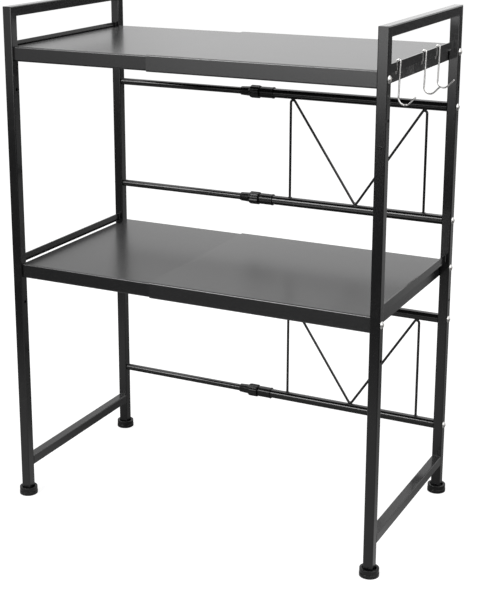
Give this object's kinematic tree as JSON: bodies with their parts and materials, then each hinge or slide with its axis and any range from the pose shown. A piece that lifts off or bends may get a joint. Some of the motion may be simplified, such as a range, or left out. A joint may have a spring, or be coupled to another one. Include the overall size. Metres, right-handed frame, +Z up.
{
  "type": "microwave rack",
  "caption": "Microwave rack with two telescoping shelves, telescoping back rods with twist locks, wire braces, levelling feet and sliding wire hooks.",
  "frame": {"origin": "on the floor under the middle of the rack's bounding box, slid fully out", "axes": "+X along the width towards the side with the hooks, +Y from front to back, +Z up"},
  "size_m": [0.6256, 0.334, 0.78],
  "materials": {
    "black_powder_coat": "satin black powder coat",
    "shelf_coat": "semi-gloss dark coat",
    "gloss_black_rod": "gloss black enamel",
    "bright_nickel": "bright nickel plate",
    "zinc_steel": "zinc plated steel",
    "natural_plastic": "natural moulded plastic",
    "black_plastic": "moulded black plastic"
  },
  "bodies": {
    "left_side": {"left_front_post": "black_powder_coat", "left_rear_post": "black_powder_coat", "left_top_bar": "black_powder_coat", "left_bottom_bar": "black_powder_coat", "left_upper_rail": "black_powder_coat", "left_lower_rail": "black_powder_coat", "upper_inner_tray": "shelf_coat", "lower_inner_tray": "shelf_coat", "inner_tray_nut_blocks": "zinc_steel", "thin_tube_1": "gloss_black_rod", "thin_tube_2": "gloss_black_rod", "thin_tube_3": "gloss_black_rod", "thin_tube_4": "gloss_black_rod", "thin_rod_end_plugs": "zinc_steel", "thin_rod_guide_bushes": "natural_plastic", "left_screws": "bright_nickel", "left_foot_inserts": "black_plastic"},
    "right_side": {"right_front_post": "black_powder_coat", "right_rear_post": "black_powder_coat", "right_top_bar": "black_powder_coat", "right_bottom_bar": "black_powder_coat", "right_upper_rail": "black_powder_coat", "right_lower_rail": "black_powder_coat", "upper_outer_tray": "shelf_coat", "lower_outer_tray": "shelf_coat", "outer_tray_nut_blocks": "zinc_steel", "thick_tube_1": "gloss_black_rod", "thick_tube_2": "gloss_black_rod", "thick_tube_3": "gloss_black_rod", "thick_tube_4": "gloss_black_rod", "thick_rod_end_plugs": "zinc_steel", "lock_sleeve_1": "black_plastic", "lock_sleeve_2": "black_plastic", "lock_sleeve_3": "black_plastic", "lock_sleeve_4": "black_plastic", "lock_collet_1": "natural_plastic", "lock_collet_2": "natural_plastic", "lock_collet_3": "natural_plastic", "lock_collet_4": "natural_plastic", "upper_brace": "gloss_black_rod", "lower_brace": "gloss_black_rod", "right_screws": "bright_nickel", "right_foot_inserts": "black_plastic", "post_hole_plug": "black_plastic"},
    "twist_lock_1": {"lock_nut_1": "black_plastic"},
    "twist_lock_2": {"lock_nut_2": "black_plastic"},
    "twist_lock_3": {"lock_nut_3": "black_plastic"},
    "twist_lock_4": {"lock_nut_4": "black_plastic"},
    "sliding_hook_1": {"hook_1": "bright_nickel"},
    "sliding_hook_2": {"hook_2": "bright_nickel"},
    "sliding_hook_3": {"hook_3": "bright_nickel"},
    "left_front_leveller": {"left_front_foot": "black_plastic", "left_front_foot_stem": "zinc_steel"},
    "left_rear_leveller": {"left_rear_foot": "black_plastic", "left_rear_foot_stem": "zinc_steel"},
    "right_front_leveller": {"right_front_foot": "black_plastic", "right_front_foot_stem": "zinc_steel"},
    "right_rear_leveller": {"right_rear_foot": "black_plastic", "right_rear_foot_stem": "zinc_steel"}
  },
  "joints": [
    {"name": "width_slide", "type": "slide", "parent": "left_side", "child": "right_side", "axis": [1, 0, 0], "range_m": [-0.2, 0]},
    {"name": "lock_turn_1", "type": "hinge", "parent": "right_side", "child": "twist_lock_1", "pos_m": [-0.04961, 0.1525, 0.628], "axis": [1, 0, 0], "range_deg": [0, 150]},
    {"name": "lock_turn_2", "type": "hinge", "parent": "right_side", "child": "twist_lock_2", "pos_m": [-0.04961, 0.1525, 0.452], "axis": [1, 0, 0], "range_deg": [0, 150]},
    {"name": "lock_turn_3", "type": "hinge", "parent": "right_side", "child": "twist_lock_3", "pos_m": [-0.04961, 0.1525, 0.2925], "axis": [1, 0, 0], "range_deg": [0, 150]},
    {"name": "lock_turn_4", "type": "hinge", "parent": "right_side", "child": "twist_lock_4", "pos_m": [-0.04961, 0.1525, 0.1145], "axis": [1, 0, 0], "range_deg": [0, 150]},
    {"name": "hook_slide_1", "type": "slide", "parent": "right_side", "child": "sliding_hook_1", "axis": [0, 1, 0], "range_m": [-0.04, 0.046]},
    {"name": "hook_slide_2", "type": "slide", "parent": "right_side", "child": "sliding_hook_2", "axis": [0, 1, 0], "range_m": [-0.052, 0.027]},
    {"name": "hook_slide_3", "type": "slide", "parent": "right_side", "child": "sliding_hook_3", "axis": [0, 1, 0], "range_m": [-0.027, 0.068]},
    {"name": "left_front_foot_height", "type": "slide", "parent": "left_side", "child": "left_front_leveller", "axis": [0, 0, 1], "range_m": [-0.01, 0]},
    {"name": "left_rear_foot_height", "type": "slide", "parent": "left_side", "child": "left_rear_leveller", "axis": [0, 0, 1], "range_m": [-0.01, 0]},
    {"name": "right_front_foot_height", "type": "slide", "parent": "right_side", "child": "right_front_leveller", "axis": [0, 0, 1], "range_m": [-0.01, 0]},
    {"name": "right_rear_foot_height", "type": "slide", "parent": "right_side", "child": "right_rear_leveller", "axis": [0, 0, 1], "range_m": [-0.01, 0]}
  ]
}
